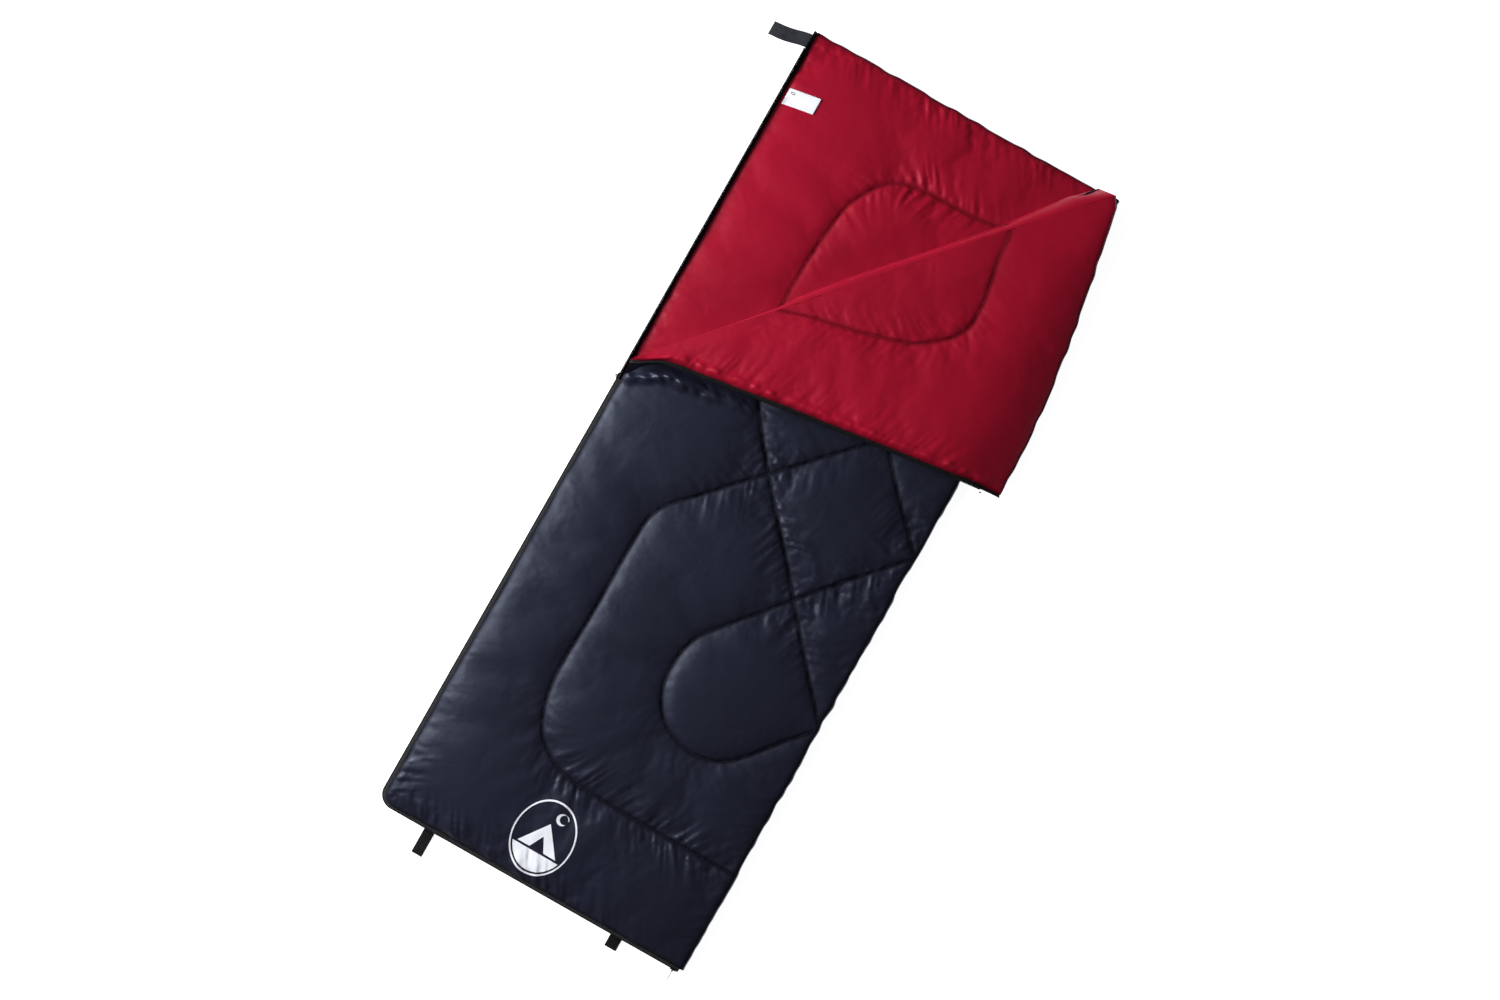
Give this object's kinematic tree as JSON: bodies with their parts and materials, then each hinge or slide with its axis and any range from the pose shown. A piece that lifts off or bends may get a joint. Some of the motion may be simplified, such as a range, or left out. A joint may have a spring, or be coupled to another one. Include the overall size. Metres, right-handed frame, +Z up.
{
  "type": "rectangular sleeping bag",
  "caption": "Rectangular quilted sleeping bag laid flat, with an L-shaped zip open half way and the head corner of its cover folded back.",
  "frame": {"origin": "centre of the base's underside, on the surface the bag lies on", "axes": "+X across the bag from the zip side to the joined side, +Y from foot to head, +Z up"},
  "size_m": [0.9261, 1.972, 0.0773],
  "materials": {
    "shell": "navy plain-weave polyester with a satin sheen",
    "lining": "red plain-weave polyester with a satin sheen",
    "batting": "white hollow-fibre wadding",
    "zip_tape": "black woven zip tape",
    "zip_coil": "black nylon coil",
    "zip_stop": "bright metal clip",
    "slider": "black enamel",
    "pull": "dull grey metal",
    "webbing": "charcoal ribbed webbing",
    "label": "white satin label"
  },
  "bodies": {
    "base": {"base_shell": "shell", "base_batting": "batting", "base_lining": "lining", "base_zip_tape": "zip_tape", "base_zip_coil": "zip_coil", "base_head_stop": "zip_stop", "base_foot_stop": "zip_stop", "left_loop_tail": "webbing", "right_loop_tail": "webbing"},
    "cover": {"cover_shell": "shell", "cover_batting": "batting", "cover_lining": "lining", "cover_zip_tape": "zip_tape", "cover_zip_coil": "zip_coil", "cover_foot_stop": "zip_stop"},
    "flap": {"flap_shell": "shell", "flap_batting": "batting", "flap_lining": "lining", "flap_zip_tape": "zip_tape", "flap_zip_coil": "zip_coil", "flap_head_stop": "zip_stop"},
    "side_slider": {"side_slider": "slider", "side_slider_bail": "slider"},
    "side_pull": {"side_pull": "pull"},
    "foot_slider": {"foot_slider": "slider", "foot_slider_bail": "slider"},
    "foot_pull": {"foot_pull": "pull"},
    "head_tab": {"head_tab": "webbing"},
    "care_label": {"care_label": "label"},
    "left_foot_loop": {"left_foot_loop": "webbing"},
    "right_foot_loop": {"right_foot_loop": "webbing"}
  },
  "joints": [
    {"name": "cover_fold", "type": "hinge", "parent": "base", "child": "cover", "pos_m": [0.3703, 0, 0.026], "axis": [0, 1, 0], "range_deg": [0, 180]},
    {"name": "flap_fold", "type": "hinge", "parent": "cover", "child": "flap", "pos_m": [-0.37, 0.1, 0.05215], "axis": [-0.6302, -0.7764, 0], "range_deg": [0, 180]},
    {"name": "side_slider_travel", "type": "slide", "parent": "base", "child": "side_slider", "axis": [0, 1, 0], "range_m": [-1.01, 0.801]},
    {"name": "side_pull_swing", "type": "hinge", "parent": "side_slider", "child": "side_pull", "pos_m": [-0.384, 0.0925, 0.026], "axis": [0, 0, -1], "range_deg": [0, 180]},
    {"name": "foot_slider_travel", "type": "slide", "parent": "base", "child": "foot_slider", "axis": [-1, 0, 0], "range_m": [0, 0.692]},
    {"name": "foot_pull_swing", "type": "hinge", "parent": "foot_slider", "child": "foot_pull", "pos_m": [0.3545, -0.964, 0.026], "axis": [0, 0, 1], "range_deg": [-90, 90]},
    {"name": "head_tab_fold", "type": "hinge", "parent": "base", "child": "head_tab", "pos_m": [-0.3713, 0.926, 0.0109], "axis": [0, 1, 0], "range_deg": [0, 90]},
    {"name": "care_label_flip", "type": "hinge", "parent": "base", "child": "care_label", "pos_m": [-0.361, 0.802, 0.0257], "axis": [0, -1, 0], "range_deg": [0, 150]},
    {"name": "left_loop_swing", "type": "hinge", "parent": "base", "child": "left_foot_loop", "pos_m": [-0.249, -0.966, 0.0101], "axis": [-1, 0, 0], "range_deg": [0, 90]},
    {"name": "right_loop_swing", "type": "hinge", "parent": "base", "child": "right_foot_loop", "pos_m": [0.215, -0.966, 0.0101], "axis": [-1, 0, 0], "range_deg": [0, 90]}
  ]
}
